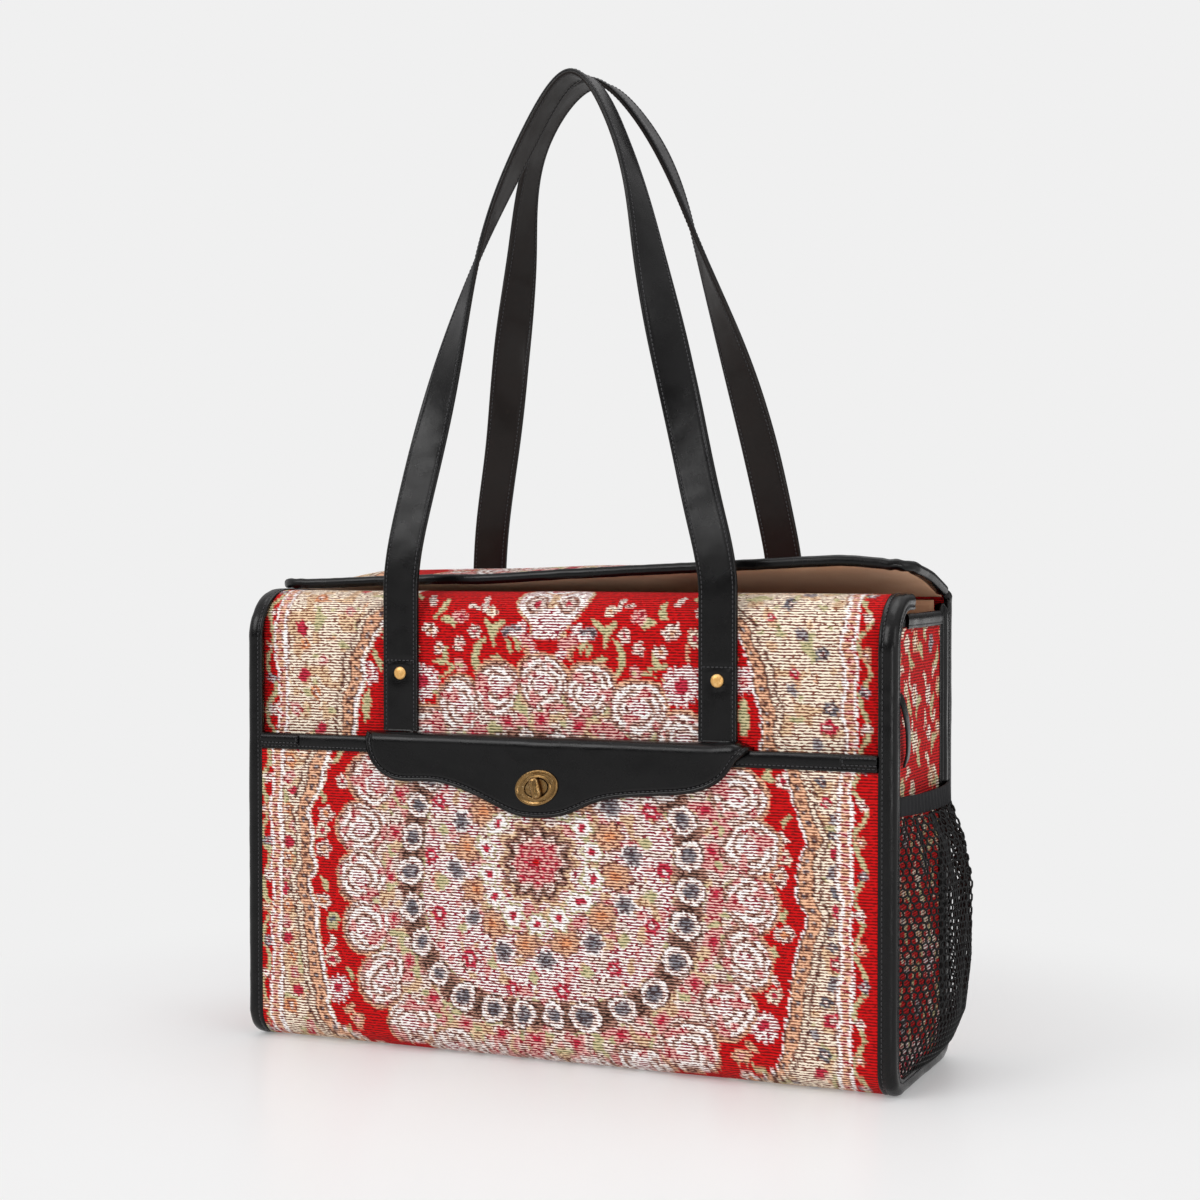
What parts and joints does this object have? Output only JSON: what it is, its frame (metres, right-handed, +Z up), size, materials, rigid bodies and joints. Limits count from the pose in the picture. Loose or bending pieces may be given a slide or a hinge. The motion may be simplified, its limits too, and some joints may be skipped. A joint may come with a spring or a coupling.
{
  "type": "carpet bag",
  "caption": "Boxed carpet-cloth tote with a hinged lid, tall leather shoulder straps, a front pocket with flap and turn lock, and a net side pocket.",
  "frame": {"origin": "centre of the base between the end, front and back faces of the body, on the floor", "axes": "+X along the bag's length towards the end with the net pocket, front with the flap and lock faces -Y, +Z up"},
  "size_m": [0.4547, 0.1443, 0.6134],
  "materials": {
    "carpet_cloth": "ribbed chenille jacquard in red, cream and white",
    "black_leather": "smooth soft-sheen coated leather",
    "tan_lining": "brushed suede-like cloth",
    "antique_brass": "antique brass, darkened in the recesses",
    "black_net": "knitted nylon net",
    "black_elastic": "woven elastic tape",
    "stiff_board": "grey sheet board, hidden"
  },
  "bodies": {
    "bag": {"outer_panel": "carpet_cloth", "pocket_panel": "carpet_cloth", "pocket_binding": "black_leather", "left_edge_binding": "black_leather", "right_edge_binding": "black_leather", "left_gusset": "carpet_cloth", "right_gusset": "carpet_cloth", "left_gusset_binding": "black_leather", "right_gusset_binding": "black_leather", "lining_strip": "tan_lining", "left_lining": "tan_lining", "right_lining": "tan_lining", "base_board": "stiff_board", "pocket_flap": "black_leather", "lock_plate": "antique_brass", "lock_back_plate": "antique_brass", "lock_base": "antique_brass", "lock_washer": "antique_brass", "front_handle": "black_leather", "rear_handle": "black_leather", "front_rivet_caps": "antique_brass", "front_rivet_backs": "antique_brass", "rear_rivet_caps": "antique_brass", "rear_rivet_backs": "antique_brass", "mesh_pocket": "black_net", "mesh_band": "black_elastic", "side_tab": "black_leather"},
    "lid": {"lid_panel": "carpet_cloth", "lid_lining": "tan_lining", "lid_binding": "black_leather"},
    "knob": {"lock_knob": "antique_brass"}
  },
  "joints": [
    {"name": "lid_hinge", "type": "hinge", "parent": "bag", "child": "lid", "pos_m": [0, 0.0575, 0.2846], "axis": [-1, 0, 0], "range_deg": [0, 65]},
    {"name": "knob_turn", "type": "hinge", "parent": "bag", "child": "knob", "pos_m": [-0.007, -0.0745, 0.1702], "axis": [0, -1, 0], "range_deg": [0, 90]}
  ]
}
